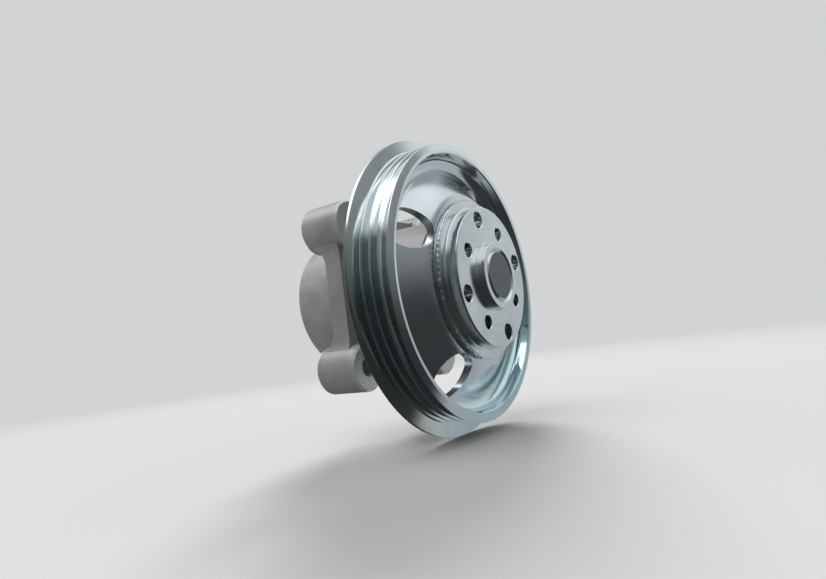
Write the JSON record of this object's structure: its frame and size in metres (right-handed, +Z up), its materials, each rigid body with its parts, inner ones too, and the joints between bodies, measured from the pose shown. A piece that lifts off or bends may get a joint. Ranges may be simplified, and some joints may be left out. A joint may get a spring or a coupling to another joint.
{
  "type": "water pump",
  "caption": "Engine coolant pump with a ribbed belt pulley on a drilled hub, a four-lug cast housing, sealed shaft bearing, face seal and rear impeller.",
  "frame": {"origin": "on the shaft axis, in the plane of the four lug faces that meet the engine", "axes": "+Y along the shaft from the pulley towards the engine and impeller, +Z up, +X completes the right-handed frame; the weep hole points to -Z"},
  "size_m": [0.1156, 0.0829, 0.1156],
  "materials": {
    "zinc_plated_steel": "bright zinc plate with a faint blue cast",
    "turned_zinc_steel": "turned, then zinc plated",
    "ground_shaft_steel": "ground bearing steel, dull end face",
    "bearing_steel": "ground and polished",
    "cage_nylon": "glass-filled nylon",
    "seal_rubber": "moulded nitrile rubber",
    "cast_aluminium": "die cast, matt, with machined faces",
    "stainless_sheet": "pressed stainless sheet",
    "spring_steel": "drawn stainless wire",
    "carbon_graphite": "lapped carbon graphite",
    "ceramic": "lapped alumina ceramic",
    "zinc_washer": "pressed zinc-plated washer",
    "impeller_polymer": "glass-filled polymer",
    "brass_bush": "turned brass"
  },
  "bodies": {
    "casing": {"pump_housing": "cast_aluminium", "bearing_outer_ring": "bearing_steel", "front_bearing_seal": "seal_rubber", "rear_bearing_seal": "seal_rubber", "seal_case": "stainless_sheet", "seal_bellows": "seal_rubber", "seal_spring": "spring_steel", "spring_retainer": "stainless_sheet", "carbon_face": "carbon_graphite", "face_o_ring": "seal_rubber"},
    "rotor": {"pulley": "zinc_plated_steel", "pulley_hub": "turned_zinc_steel", "bearing_shaft": "ground_shaft_steel", "slinger": "zinc_washer", "mating_ring": "ceramic", "mating_ring_cup": "seal_rubber", "impeller": "impeller_polymer", "impeller_bush": "brass_bush"},
    "ball_row": {"bearing_balls": "bearing_steel", "ball_cage": "cage_nylon"},
    "roller_row": {"bearing_rollers": "bearing_steel", "roller_cage": "cage_nylon"}
  },
  "joints": [
    {"name": "shaft_spin", "type": "hinge", "parent": "casing", "child": "rotor", "pos_m": [0, 0, 0], "axis": [0, 1, 0], "continuous": true},
    {"name": "ball_row_orbit", "type": "hinge", "parent": "casing", "child": "ball_row", "pos_m": [0, 0, 0], "axis": [0, 1, 0], "continuous": true},
    {"name": "roller_row_orbit", "type": "hinge", "parent": "casing", "child": "roller_row", "pos_m": [0, 0, 0], "axis": [0, 1, 0], "continuous": true}
  ],
  "couplings": [
    {"joint": "ball_row_orbit", "follows": "shaft_spin", "ratio": 0.3545},
    {"joint": "roller_row_orbit", "follows": "shaft_spin", "ratio": 0.3961}
  ]
}
